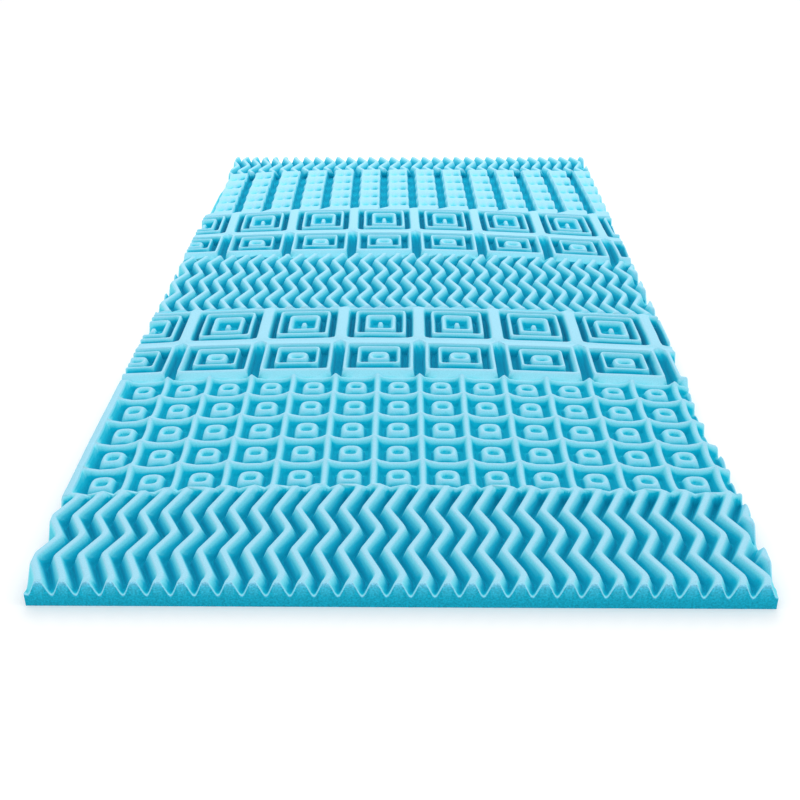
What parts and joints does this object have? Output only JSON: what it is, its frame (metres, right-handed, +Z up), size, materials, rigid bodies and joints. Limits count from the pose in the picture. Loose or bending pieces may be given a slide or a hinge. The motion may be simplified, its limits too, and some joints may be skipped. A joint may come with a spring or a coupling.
{
  "type": "cooling foam mattress topper",
  "caption": "Flat one-piece foam mattress topper with a plain underside and a profile-cut upper side: zones of zigzag ridges, square cells, nested squares and dimpled bars.",
  "frame": {"origin": "middle of the underside, on the surface that the topper lies on", "axes": "+Y along the length towards the head end, +X across, +Z up"},
  "size_m": [1, 2, 0.042],
  "materials": {
    "foam": "matte open-cell foam, pale blue"
  },
  "bodies": {
    "root": {"foam_slab": "foam"}
  },
  "joints": []
}
